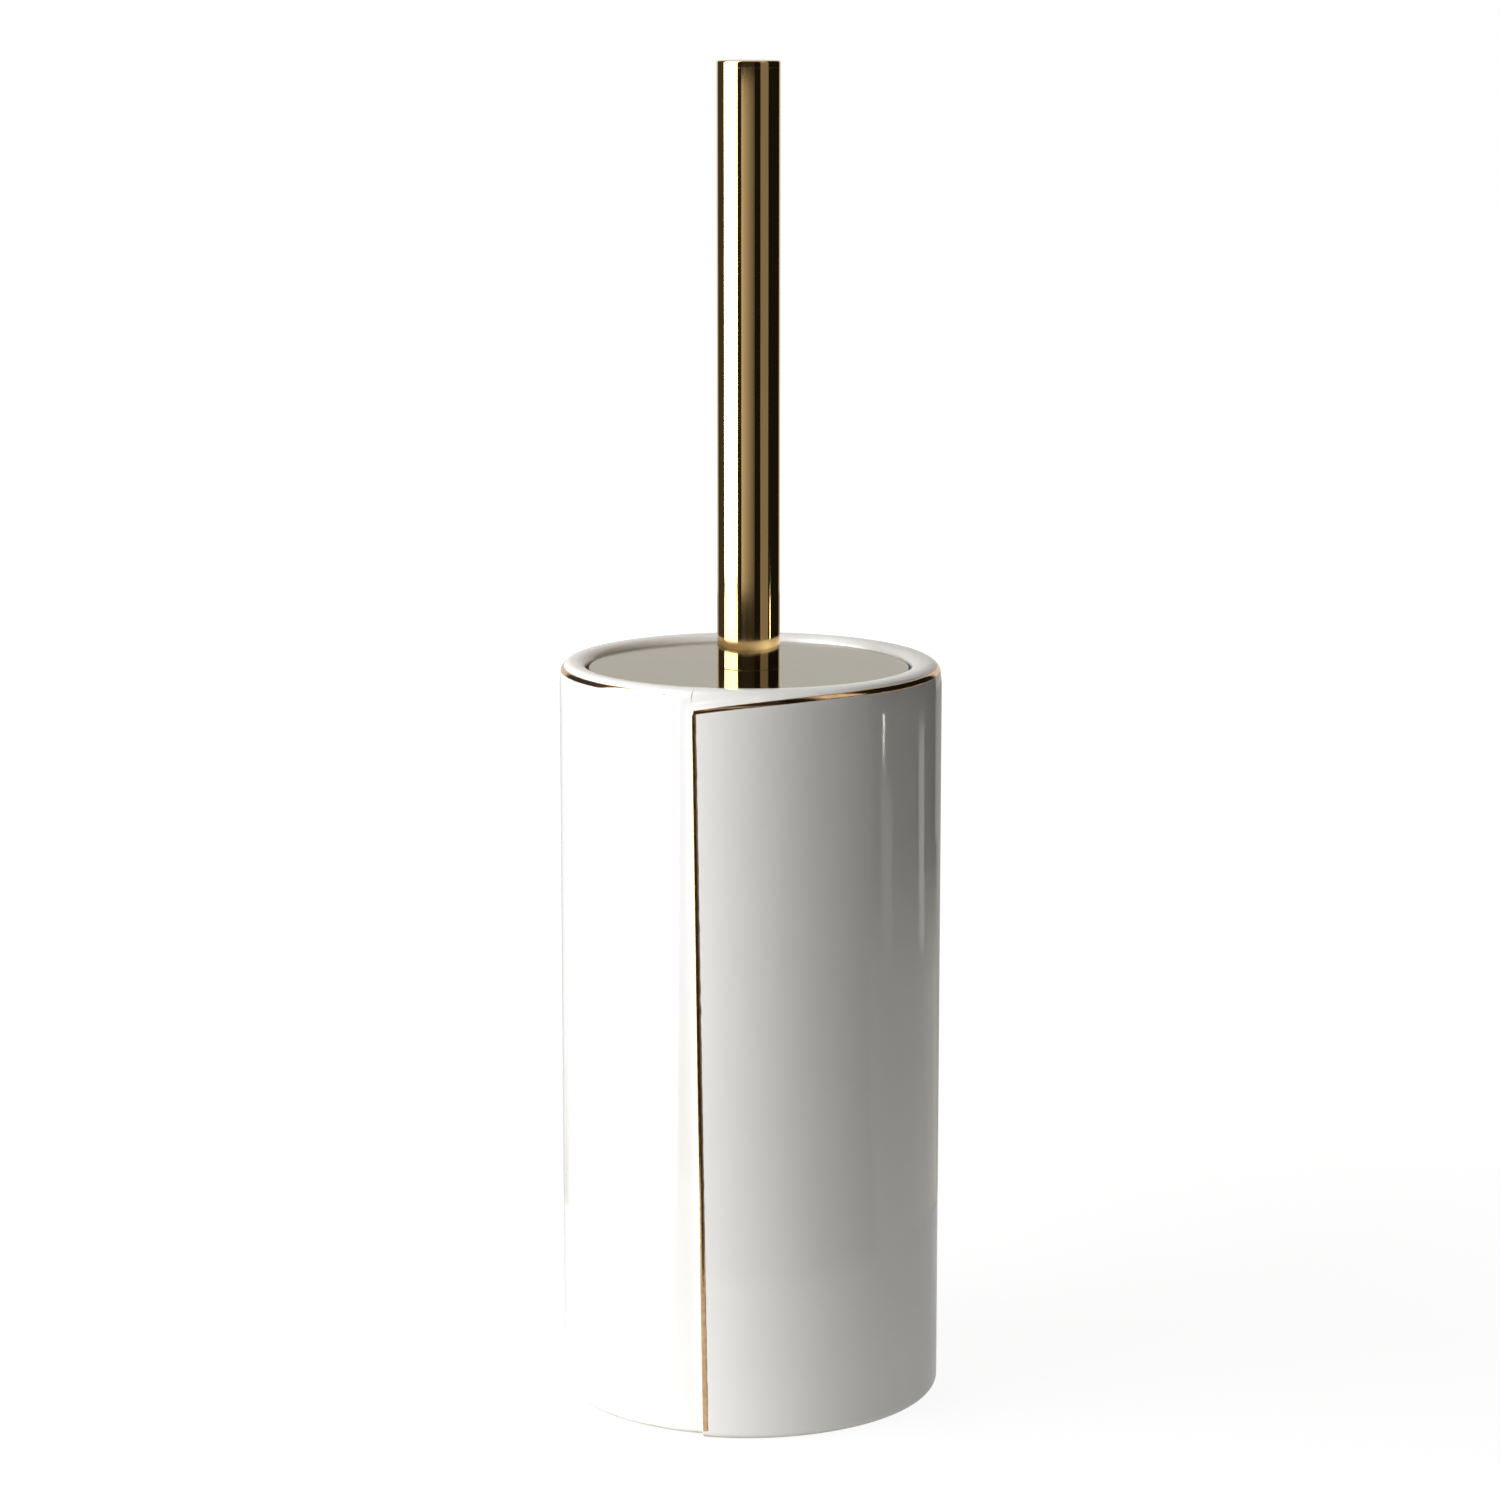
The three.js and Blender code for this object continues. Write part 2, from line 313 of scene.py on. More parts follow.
def lustre_finish():
    """The painted and fired gold line: rosier, with brush streaks and small thin spots."""
    f = Finish("gold_lustre", (0.83, 0.56, 0.33), 0.1, metallic=1.0)
    streak = f.noise(520, 3)
    f.color(f.mix(f.remap(streak, 0.4, 0.75, 0, 1), (0.84, 0.57, 0.33), (0.74, 0.46, 0.25)))
    f.roughness(f.remap(streak, 0.3, 0.8, 0.06, 0.2))
    f.bump(f.noise(900, 2), 0.006 * MM)
    return f.material


def lid_finish():
    """Polished plate with turning marks too fine to count and a few wipe marks."""
    tint = (0.86, 0.855, 0.83, 1)
    f = Finish("polished_lid", (0.45, 0.43, 0.375), 0.09, metallic=1.0, Specular_Tint=tint)
    place = f.add("ShaderNodeSeparateXYZ")
    f.link(f.place, place.inputs["Vector"])
    x, y = place.outputs["X"], place.outputs["Y"]
    radius = f.math("SQRT", f.math("ADD", f.math("MULTIPLY", x, x), f.math("MULTIPLY", y, y)), 0.0)
    along = f.add("ShaderNodeCombineXYZ")
    f.link(radius, along.inputs["X"])
    f.link(place.outputs["Z"], along.inputs["Z"])
    rings = f.noise(5200, 2, vector=along.outputs["Vector"])
    wiped = f.noise(1, 4, vector=f.stretched((18, 70, 20)))
    tone = f.remap(wiped, 0.3, 0.7, 0, 1)
    f.color(f.mix(tone, (0.44, 0.42, 0.366), (0.46, 0.44, 0.384)))
    f.roughness(f.math("ADD", f.remap(rings, 0.3, 0.7, 0.05, 0.085), f.remap(wiped, 0.5, 0.8, 0, 0.04)))
    f.bump(rings, 0.0006 * MM)
    return f.material


def steel_finish():
    """Drawn stainless rod, with fine lines along it."""
    f = Finish("satin_steel", (0.62, 0.62, 0.61), 0.28, metallic=1.0)
    drawn = f.noise(1, 4, vector=f.stretched((3200, 3200, 40)))
    f.color(f.mix(drawn, (0.56, 0.56, 0.55), (0.68, 0.68, 0.67)))
    f.roughness(f.remap(drawn, 0.3, 0.7, 0.2, 0.34))
    f.bump(drawn, 0.004 * MM)
    return f.material


def plastic_finish(name, dark, light, rough):
    """Moulded plastic with a fine spark-eroded grain and slight flow marks."""
    f = Finish(name, light, rough, IOR=1.49)
    flow = f.noise(1, 2, vector=f.stretched((30, 30, 9)))
    f.color(f.mix(f.remap(flow, 0.3, 0.7, 0, 1), dark, light))
    grain = f.noise(3200, 2)
    f.roughness(f.remap(grain, 0.2, 0.8, rough - 0.07, rough + 0.08))
    f.bump(grain, 0.006 * MM)
    f.bump(flow, 0.02 * MM)
    return f.material


def bristle_finish():
    """Crimped white nylon: a waxy sheen that varies from one filament to the next."""
    f = Finish("nylon_bristle", (0.88, 0.88, 0.86), 0.38, IOR=1.53)
    tone = f.remap(f.noise(900, 1), 0.3, 0.7, 0, 1)
    f.color(f.mix(tone, (0.82, 0.825, 0.81), (0.92, 0.92, 0.905)))
    f.roughness(f.remap(f.noise(1500, 1), 0.3, 0.7, 0.3, 0.46))
    f.bump(f.noise(2600, 1), 0.01 * MM)
    return f.material


def foam_finish():
    """Closed-cell foam, its cut cells showing as small pits."""
    f = Finish("grip_foam", (0.035, 0.035, 0.037), 0.9)
    cells = f.add("ShaderNodeTexVoronoi")
    f.set(cells, "Scale", 1100)
    f.link(f.place, cells.inputs["Vector"])
    pit = cells.outputs["Distance"]
    f.color(f.mix(f.remap(pit, 0, 0.6, 0, 1), (0.02, 0.02, 0.022), (0.055, 0.055, 0.058)))
    f.roughness(f.remap(pit, 0, 0.6, 0.82, 0.95))
    f.bump(pit, 0.12 * MM)
    return f.material


# --- porcelain holder ---


def line_height(turn):
    """Height of the gold line's middle, which is also the lap's top edge near the corner."""
    height = RIM - LINE_DEPTH
    if turn < CORNER_TURN:
        height -= CORNER_DROP * (1 - turn / CORNER_TURN) ** 2.6
    return height


def wall_radius(turn, height):
    """Radius of the outer skin. The lap's step is sharp up to the gold line and fades away above it."""
    arc = turn * TAU * MEAN_RADIUS
    lap = math.sqrt(1 - (1 - arc / LAP_ROUND) ** 2) if arc < LAP_ROUND else 1.0
    fade = smoothstep(0, CORNER_TURN, turn)
    line = line_height(turn)
    above = smoothstep(line + 0.7 * MM, line + 2.3 * MM, height)
    share = lap + (fade - lap) * above
    return MEAN_RADIUS + LAP_STEP * (share - turn - 0.5)


def rim_rounding(turn):
    """Outer and inner rounding of the rim, each as (radial, vertical), at a turn past the seam."""
    width = wall_radius(turn, RIM) - OPENING_RADIUS
    return (0.48 * width, 4.6 * MM), (0.42 * width, 2.5 * MM)


def wall_point(turn, travel):
    """A point of the outer skin. Travel is the height up to the rim's rounding and then its arc."""
    turn = turn % 1.0
    (radial, vertical), _ = rim_rounding(turn)
    shoulder = RIM - vertical
    if travel > shoulder:
        bend = (travel - shoulder) / vertical
        height, pull = shoulder + vertical * math.sin(bend), radial * (1 - math.cos(bend))
    elif travel < FOOT + FOOT_ROUND:
        sink = min((FOOT + FOOT_ROUND - travel) / FOOT_ROUND, 1.0)
        height, pull = travel, FOOT_ROUND * (1 - math.sqrt(1 - sink**2))
    else:
        height, pull = travel, 0.0
    return skin_point(turn, height, wall_radius(turn, height) - pull)


def skin_point(turn, height, radius):
    """The point at a turn, height and radius, with the slight unevenness of a thrown wall."""
    angle = SEAM_ANGLE + SEAM_LEAN * (1 - height / RIM) + TAU * turn
    x, y = math.sin(angle), -math.cos(angle)
    wave = noise.noise(Vector((x * 1.6, y * 1.6, height * 14)))
    radius -= UNEVEN * (1 + wave)
    return Vector((radius * x, radius * y, height))


def travel_at(turn, height):
    """Travel up the outer skin at which it reaches a height."""
    (_, vertical), _ = rim_rounding(turn)
    shoulder = RIM - vertical
    if height <= shoulder:
        return height
    return shoulder + vertical * math.asin(min((height - shoulder) / vertical, 1))


def spread(low, high, count):
    return [low + (high - low) * i / count for i in range(count)]


def holder_column(turn):
    """One column of the holder, from the middle of its underside, up the wall, to its floor."""
    (radial, vertical), (in_radial, in_vertical) = rim_rounding(turn)
    line = travel_at(turn, line_height(turn))
    crest = RIM - vertical + vertical * math.pi / 2
    turn_radius = wall_radius(turn, FOOT)
    column = []

    def inside(radius, height, share=1.0):
        column.append(skin_point(turn, height, radius + UNEVEN * share))

    recess = FOOT + FOOT_RECESS
    for radius in (12, 30, 45, 46.6, 47):
        inside(radius * MM, recess)
    for radius, height in ((47.5, 0.9), (48, 0.25), (48.7, 0)):
        inside(radius * MM, FOOT + height * MM)
    inside(turn_radius - FOOT_ROUND - 1.5 * MM, FOOT)
    foot_rows = [FOOT + FOOT_ROUND * (1 - math.cos(math.radians(a))) for a in (0, 15, 30, 45, 60, 75)]
    for travel in foot_rows:
        column.append(wall_point(turn, travel))
    below, above = line - 0.8 * MM, line + 2.6 * MM
    for travel in (
        spread(FOOT + FOOT_ROUND, below, 52) + spread(below, above, 14) + spread(above, crest, 16)
    ):
        column.append(wall_point(turn, travel))
    outer = wall_radius(turn, RIM) - radial
    inner = OPENING_RADIUS + in_radial
    for radius in spread(outer, inner, 3):
        column.append(skin_point(turn, RIM, radius))
    for i in range(13):
        bend = math.radians(90 * i / 12)
        radius = OPENING_RADIUS + in_radial * (1 - math.sin(bend))
        inside(radius, RIM - in_vertical * (1 - math.cos(bend)), i / 12)
    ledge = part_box("inner_cup")[1].z - LEDGE_DEPTH
    for radius, height in (
        (46.5, ledge + 0.6 * MM),
        (46.3, ledge + 0.15 * MM),
        (45.9, ledge),
        (44.5, ledge),
        (44.1, ledge - 0.2 * MM),
        (44, ledge - 0.8 * MM),
        (44, ledge - 3.6 * MM),
        (44.3, ledge - 4.6 * MM),
        (49, ledge - 11.4 * MM),
        (49.5, ledge - 13 * MM),
    ):
        inside(radius * MM, height)
    floor = FOOT + FLOOR_TOP
    for height in spread(ledge - 20 * MM, floor + FLOOR_ROUND, 8):
        inside(INNER_RADIUS, height)
    for i in range(8):
        bend = math.radians(90 * i / 7)
        radius = INNER_RADIUS - FLOOR_ROUND * (1 - math.cos(bend))
        inside(radius, floor + FLOOR_ROUND * (1 - math.sin(bend)))
    for radius in (35, 15):
        inside(radius * MM, floor)
    return column


def holder_turns():
    """Even turns round the holder, closer together at the seam, where the lap's edge is rounded."""
    near = (0, 0.02, 0.06, 0.13, 0.22, 0.33, 0.44, 0.55, 0.8, 1.2, 1.7, 2.3, 3.2, 4.4)
    turns = [arc * MM / (TAU * MEAN_RADIUS) for arc in near]
    turns += spread(5.8 * MM / (TAU * MEAN_RADIUS), 1 - 0.003, 240)
    return turns + [1 - 0.0028, 1 - 0.0012, 1 - 0.0003]


def porcelain_holder(material):
    columns = [holder_column(turn) for turn in holder_turns()]
    obj = mesh_object("glazed_holder", *turned_mesh(columns, poles=True), material)
    return placed(obj, "holder", "porcelain", "porcelain_holder")


def wall_normal(turn, travel):
    """Outward normal of the outer skin."""
    step = 0.05 * MM
    around = step / (TAU * MEAN_RADIUS)
    a = wall_point(turn + around, travel) - wall_point(turn, travel)
    b = wall_point(turn, travel + step) - wall_point(turn, travel - step)
    return a.cross(b).normalized()


def ribbon_section(samples):
    """A closed section of the gold line over (turn, travel) samples: crowned above, buried below."""
    top, under = [], []
    last = len(samples) - 1
    for i, (turn, travel) in enumerate(samples):
        point, normal = wall_point(turn, travel), wall_normal(turn, travel)
        across = 2 * i / last - 1
        top.append(point + normal * LINE_CROWN * (1 - across**4))
        if 0 < i < last:
            under.append(point - normal * LINE_BURIED)
    return top + under[::-1]


def ribbon(name, sections, material):
    verts, faces = loft(sections)
    count = len(sections[0])
    faces.append(tuple(range(count)))
    faces.append(tuple(len(verts) - count + i for i in range(count)))
    return placed(mesh_object(name, verts, faces, material), "holder", "gold")


def gold_rim_line(material):
    """The line round the rim: thin at the lap's corner, and fading out before it comes back to the seam."""
    sections = []
    for turn in [0.0004] + [t for t in holder_turns() if 0.002 < t < LINE_END]:
        middle = travel_at(turn, line_height(turn))
        width = LINE_WIDTH * (0.72 + 0.33 * smoothstep(0, 0.2, turn) - 0.3 * smoothstep(0.75, 1, turn))
        width *= 1 - 0.93 * smoothstep(LINE_FADE, LINE_END, turn)
        width *= 1 + 0.06 * noise.noise(Vector((turn * 60, 0, 5)))
        sections.append([(turn, middle + width * (i / 8 - 0.5)) for i in range(9)])
    return ribbon("gold_rim_line", [ribbon_section(s) for s in sections], material)


def gold_seam_line(material):
    """The line down the lap's rounded edge, from the lap's corner to the foot."""
    top, bottom = line_height(0) + 0.5 * MM, FOOT + 0.9 * MM
    sections = []
    for travel in spread(bottom, top, 150) + [top]:
        reach = 1 + 0.08 * noise.noise(Vector((travel * 300, 3, 0)))
        arcs = [LAP_ROUND * (1 - math.cos(math.radians(a))) for a in (66, 74, 82, 90)]
        arcs += [1.2 * MM * reach, 1.95 * MM * reach]
        sections.append([(arc / (TAU * MEAN_RADIUS), travel) for arc in arcs])
    return ribbon("gold_seam_line", [ribbon_section(s) for s in sections], material)


def base_pad(material):
    low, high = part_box("base_pad")
    edge = 0.3 * MM
    corners = [
        (0, low.z, 0),
        (high.x - 8 * MM, low.z, 0),
        (high.x, low.z, edge),
        (high.x, high.z, edge),
        (high.x - 8 * MM, high.z, 0),
        (0, high.z, 0),
    ]
    return turned_piece("foam_base_pad", corners, material, "holder", "foam", "base_pad")


# --- drip cup ---


def drip_cup(material):
    """A thin moulded cup with a little draft, a rolled flange and a raised ring under its floor."""
    low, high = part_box("inner_cup")
    wall, flange = 1.6 * MM, high.x
    top_radius, bottom_radius = 43.4 * MM, 41.6 * MM
    corners = [
        (0, low.z + 0.5 * MM, 0),
        (28 * MM, low.z + 0.5 * MM, 0.4 * MM),
        (28.6 * MM, low.z, 0.3 * MM),
        (31 * MM, low.z, 0.3 * MM),
        (31.6 * MM, low.z + 0.5 * MM, 0.4 * MM),
        (bottom_radius - 1 * MM, low.z + 0.5 * MM, 4 * MM),
        (top_radius, high.z - 9 * MM, 0),
        (top_radius, high.z - wall, 0.35 * MM),
        (flange, high.z - wall, 0.5 * MM),
        (flange, high.z, 0.7 * MM),
        (top_radius - wall, high.z, 1.1 * MM),
        (top_radius - wall, high.z - 9 * MM, 0),
        (bottom_radius - 1 * MM - wall, low.z + wall + 0.5 * MM, 3 * MM),
        (0, low.z + wall + 0.5 * MM, 0),
    ]
    return turned_piece("drip_cup", corners, material, "cup", "white_plastic", "inner_cup", sides=180)


# --- lid ---


def lid_plate(material):
    """The pressed disc with its rolled-down edge."""
    low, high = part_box("lid_plate")
    sheet, hole = 0.8 * MM, 6 * MM
    corners = [
        (hole, high.z - sheet, 0.1 * MM),
        (high.x - sheet, high.z - sheet, 0.3 * MM),
        (high.x - sheet, low.z, 0.15 * MM),
        (high.x, low.z, 0.15 * MM),
        (high.x, high.z, 0.7 * MM),
        (hole, high.z, 0.15 * MM),
    ]
    return turned_piece("lid_disc", corners, material, "lid", "lid_metal", "lid_plate", sides=220)


def lid_bush(material):
    low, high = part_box("lid_bush")
    bore, body, flange = STEM_BORE, 5.7 * MM, high.x
    shoulder = low.z + 1.6 * MM
    corners = [
        (bore, low.z, 0.3 * MM),
        (flange, low.z, 0.4 * MM),
        (flange, shoulder, 0.3 * MM),
        (body, shoulder, 0.15 * MM),
        (body, high.z, 0.3 * MM),
        (bore, high.z, 0.3 * MM),
    ]
    return turned_piece("lid_guide_bush", corners, material, "lid", "black_plastic", "lid_bush", sides=72)


# --- handle ---


def handle(gold, plastic):
    """The gold tube and its end cap, with the plug that holds the stem inside the tube's foot."""
    _, tube_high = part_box("handle_tube")
    cap_low, cap_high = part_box("handle_cap")
    insert_low, insert_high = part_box("handle_insert")
    lid_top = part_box("lid_plate")[1].z
    radius, bore, plug = tube_high.x, tube_high.x - 1 * MM, insert_high.x
    foot = lid_top + 0.05 * MM
    cap_joint = cap_high.z - 2 * MM
    joint_round = 0.03 * MM
    turned_piece(
        "handle_gold_tube",
        [
            (bore, foot, 0.1 * MM),
            (radius, foot, 0.12 * MM),
            (radius, cap_joint, joint_round),
            (bore, cap_joint, joint_round),
        ],
        gold, "brush", "gold", "handle_tube",
    )
    turned_piece(
        "handle_end_cap",
        [
            (0, cap_low.z, 0),
            (plug, cap_low.z, 0.8 * MM),
            (plug, cap_joint + SEAT, joint_round),
            (radius, cap_joint + SEAT, joint_round),
            (radius, cap_high.z, 0.6 * MM),
            (0, cap_high.z, 0),
        ],
        gold, "brush", "gold", "handle_cap",
    )
    turned_piece(
        "handle_stem_plug",
        [
            (STEM_BORE, insert_low.z, 0.3 * MM),
            (plug, insert_low.z, 0.4 * MM),
            (plug, insert_high.z, 0.6 * MM),
            (STEM_BORE, insert_high.z, 0.3 * MM),
        ],
        plastic, "brush", "white_plastic", "handle_insert", sides=72,
    )


# --- stem ---


def stem_rod(steel):
    """The rod, with rolled thread rings at the end that screws into the head."""
    low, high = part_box("stem")
    radius = high.x
    thread_top, pitch, depth = low.z + 30 * MM, 1.25 * MM, 0.45 * MM
    corners = [(0, low.z, 0), (radius - 1 * MM, low.z, 0.2 * MM)]
    at = low.z + 1.2 * MM
    while at < thread_top:
        corners.append((radius - 0.05 * MM, at, 0.08 * MM))
        corners.append((radius - depth, at + pitch / 2, 0.08 * MM))
        at += pitch
    corners += [
        (radius, at, 0.1 * MM),
        (radius, high.z - 0.6 * MM, 0.2 * MM),
        (radius - 0.6 * MM, high.z, 0.2 * MM),
        (0, high.z, 0),
    ]
    return turned_piece("stem_rod", corners, steel, "brush", "steel", "stem", sides=64)


def retaining_clip(steel):
    """A push-on washer: a dished ring with a rolled rim."""
    low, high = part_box("retaining_clip")
    bore, rim = STEM_BORE, high.x
    thin = 0.35 * MM
    corners = [
        (bore, low.z + thin, 0.08 * MM),
        (5.2 * MM, low.z, 0.2 * MM),
        (rim - 1 * MM, low.z, 0.2 * MM),
        (rim, low.z + thin, 0.12 * MM),
        (rim, high.z, 0.12 * MM),
        (rim - 1.2 * MM, low.z + thin, 0.2 * MM),
        (5.4 * MM, low.z + thin, 0.2 * MM),
        (bore, high.z, 0.08 * MM),
    ]
    return turned_piece("push_on_washer", corners, steel, "brush", "steel", "retaining_clip", sides=72)


# --- brush head ---

TUFTS_PER_ROW = 24
FILAMENTS_PER_TUFT = 28
FILAMENT_RADIUS = 0.19 * MM
TUFT_RADIUS = 1.15 * MM


def filament(path, radius, verts, faces, spin):
    """A three-sided closed filament along a path, tapered a little at its tip."""
    sides = 3
    start = len(verts)
    last = len(path) - 1
    for i, point in enumerate(path):
        ahead = (path[min(i + 1, last)] - path[max(i - 1, 0)]).normalized()
        side = ahead.orthogonal().normalized()
        other = ahead.cross(side)
        size = radius * (0.72 if i == last else 1.0)
        for k in range(sides):
            angle = spin + TAU * k / sides
            verts.append(point + (side * math.cos(angle) + other * math.sin(angle)) * size)
    for i in range(last):
        a, b = start + i * sides, start + (i + 1) * sides
        for k in range(sides):
            n = (k + 1) % sides
            faces.append((a + k, a + n, b + n, b + k))
    faces.append(tuple(start + k for k in range(sides)))
    faces.append(tuple(start + last * sides + k for k in range(sides)))


def tuft(root, direction, length, flare, verts, faces, rng):
    """A tuft of filaments that leaves a hole in the core and opens towards its tip."""
    side = direction.orthogonal().normalized()
    other = direction.cross(side)
    for _ in range(FILAMENTS_PER_TUFT):
        angle, out = rng.uniform(0, TAU), math.sqrt(rng.uniform(0, 1))
        offset = side * math.cos(angle) + other * math.sin(angle)
        reach = length * rng.uniform(0.95, 1.0)
        bow = rng.uniform(-0.5, 0.5) * MM
        path = []
        for step in range(6):
            t = step / 5
            width = out * (TUFT_RADIUS + flare * t**1.6)
            crimp = side * bow * math.sin(t * math.pi) + other * bow * 0.5 * math.sin(t * TAU)
            path.append(root + direction * (reach * t) + offset * width + crimp)
        filament(path, FILAMENT_RADIUS, verts, faces, angle)


def bristle_rows(material):
    """Rows of tufts round the core, each row turned half a space from the one below."""
    rows = [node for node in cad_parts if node.startswith("bristle_row")]
    rows.sort(key=lambda node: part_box(node)[0].z)
    core_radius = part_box("brush_core")[1].x
    for index, node in enumerate(rows):
        rng = random.Random(40 + index)
        low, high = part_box(node)
        middle = (low.z + high.z) / 2
        start = core_radius - 1.5 * MM
        length = high.x - start - 0.3 * MM
        verts, faces = [], []
        for i in range(TUFTS_PER_ROW):
            angle = TAU * (i + 0.5 * (index % 2)) / TUFTS_PER_ROW
            out = Vector((math.sin(angle), -math.cos(angle), rng.uniform(-0.02, 0.02))).normalized()
            root = Vector((out.x * start, out.y * start, middle))
            tuft(root, out, length, 3.4 * MM, verts, faces, rng)
        obj = mesh_object(f"tufts_{index + 1}", verts, faces, material)
        placed(obj, "brush", "bristle", node)


def tip_tufts(material):
    """Three rings of tufts that fan out round the head's tip, with one straight down."""
    low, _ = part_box("bristle_tip_tuft")
    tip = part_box("brush_core")[0].z
    rng = random.Random(77)
    verts, faces = [], []
    for count, ring, tilt in ((1, 0, 0), (6, 3.6, 20), (10, 6.6, 42), (13, 8.6, 62)):
        for i in range(count):
            angle = TAU * (i + 0.3 * ring) / count
            lean = math.radians(tilt)
            aside = math.sin(lean)
            out = Vector((math.sin(angle) * aside, -math.cos(angle) * aside, -math.cos(lean)))
            height = tip + 0.6 * MM + (1.6 * MM if tilt > 50 else 0)
            root = Vector((ring * MM * math.sin(angle), -ring * MM * math.cos(angle), height))
            length = (tip - low.z - 0.6 * MM) / max(math.cos(lean), 0.62)
            tuft(root, out, length, 2.6 * MM, verts, faces, rng)
    obj = mesh_object("tufts_tip", verts, faces, material)
    return placed(obj, "brush", "bristle", "bristle_tip_tuft")


def brush_core(plastic, steel):
    """The moulded core, ringed at its collar, and the threaded socket in its neck."""
    low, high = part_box("brush_core")
    socket_low, socket_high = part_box("head_socket")
    radius, bore = high.x, socket_high.x + 0.3 * MM
    neck = 8.2 * MM
    floor = socket_low.z - 0.3 * MM
    corners = [
        (0, low.z, 0),
        (radius - 3 * MM, low.z, 1.5 * MM),
        (radius, low.z + 6 * MM, 2.5 * MM),
        (radius, high.z - 7 * MM, 0.8 * MM),
        (radius - 1 * MM, high.z - 6.3 * MM, 0.3 * MM),
        (radius - 1 * MM, high.z - 5.4 * MM, 0.3 * MM),
        (radius - 0.4 * MM, high.z - 4.8 * MM, 0.3 * MM),
        (neck, high.z, 0.9 * MM),
        (bore, high.z, 0.3 * MM),
        (bore, floor, 0.3 * MM),
        (0, floor, 0),
    ]
    turned_piece("brush_core_moulding", corners, plastic, "brush", "white_plastic", "brush_core", sides=96)
    corners = [
        (STEM_BORE, socket_low.z, 0.2 * MM),
        (socket_high.x, socket_low.z, 0.4 * MM),
        (socket_high.x, socket_high.z, 0.4 * MM),
        (STEM_BORE, socket_high.z, 0.4 * MM),
    ]
    turned_piece("threaded_socket", corners, steel, "brush", "steel", "head_socket", sides=72)


# --- studio ---

CAMERA_LENS = 99.6
CAMERA_PLACE = (0.0004, -1.175, 0.4066)
CAMERA_TILT = 10.51  # degrees down

KEY_START, KEY_END = -99, -41  # azimuths of the softbox, and of the bright window that it stands for
KEY_DISTANCE = 1.5
KEY_HEIGHT = 2.0
KEY_RADIANCE = 5.0

WALL_RADIUS = 1.6
WALL_TOP = 2.4
NEAR_TABLE = 0.2
SEAM_TABLE = 0.312  # nearer than this, the seam's line sees the pale table
PALE_TABLE_RADIUS = 0.33
FLOOR_RADIUS = 6
FLOOR_FADE = (0.2, 0.8)  # the floor brightens to white between these distances
FLOOR_NEAR = 0.92
UNSEEN_SKY = 0.3  # how bright the world is to everything but the camera

WARM = (1, 0.96, 0.9)
NEUTRAL = (1, 0.99, 0.98)

# Azimuths in degrees round the set from the camera, positive to the right, with what each stretch
# of the room gives back: the wall above the table, the table itself from where it starts, and the tint.
ROOM = (
    ("backdrop", 146, 214, 0.75, 0.45, NEAR_TABLE, WARM),
    ("left_back_flag", -146, KEY_START, 0.05, 0.05, NEAR_TABLE, WARM),
    ("left_window", KEY_START, KEY_END, 0.0, 3.2, NEAR_TABLE, NEUTRAL),
    ("left_front_flag", KEY_END, -26, 0.02, 0.02, SEAM_TABLE, WARM),
    ("front_right_flag", 21.4, 43.6, 0.01, 0.01, NEAR_TABLE, WARM),
    ("right_card", 43.6, 76, 0.24, 0.24, NEAR_TABLE, WARM),
    ("right_flag", 76, 146, 0.01, 0.01, NEAR_TABLE, WARM),
)
FRONT_CARD = (-26, 21.4, 8)  # from, to and how many steps it fades in
FRONT_BRIGHT, FRONT_DIM = 0.58, 0.13
FRONT_CARD_TOP = 0.344
FRONT_DARK = 0.03  # the wall above the front card and the table below it

# Walls that only gloss sees: from, to, strength, tint, bottom and top.
HIGH_WALLS = (
    ("front_upper_wall", -26, 21.4, FRONT_DARK, WARM, FRONT_CARD_TOP, WALL_TOP),
    ("left_window_top", KEY_START, -44, 3.2, NEUTRAL, 1.85, 4.5),
    ("right_card_top", 50, 80, 0.75, WARM, 1.1, 2.6),
)
RIGHT_SWEEP = (74, 150, 0.6)  # from, to and strength of the pale table to the right
RIGHT_SWEEP_STEPS = 6  # in which it fades out with distance
RIGHT_SWEEP_FADE, RIGHT_SWEEP_STEP = 0.5, 0.05  # where the fading starts and the width of a step

# Streaks of light on the table: from, to, strength, near and far.
GLINTS = (
    ("window_glint", 84.8, 86, 14, 1.08, 1.58),
    ("window_glow", 83, 92, 0.65, 0.6, 1.0),
    ("door_glint", 119, 126, 1.0, 0.6, 1.15),
)


def emission_material(name, strength, color=WARM):
    material = bpy.data.materials.new(name)
    material.use_nodes = True
    tree = material.node_tree
    tree.nodes.clear()
    glow = tree.nodes.new("ShaderNodeEmission")
    glow.inputs["Color"].default_value = (*color, 1)
    glow.inputs["Strength"].default_value = strength
    out = tree.nodes.new("ShaderNodeOutputMaterial")
    tree.links.new(glow.outputs["Emission"], out.inputs["Surface"])
    return material


def card(name, start, end, near, far, strength, color=WARM):
    """A curved card between two edges, each given as (radius, height). The camera doesn't see it."""
    verts, faces = [], []
    steps = 12
    for i in range(steps + 1):
        azimuth = math.radians(start + (end - start) * i / steps)
        for radius, height in (near, far):
            verts.append((radius * math.sin(azimuth), -radius * math.cos(azimuth), height))
    for i in range(steps):
        a = 2 * i
        faces.append((a, a + 2, a + 3, a + 1))
    mesh = bpy.data.meshes.new(name)
    mesh.from_pydata(verts, [], faces)
    mesh.materials.append(emission_material(name, strength, color))
    obj = bpy.data.objects.new(name, mesh)
    bpy.context.scene.collection.objects.link(obj)
    obj.visible_camera = False
    obj.visible_shadow = False
    return obj


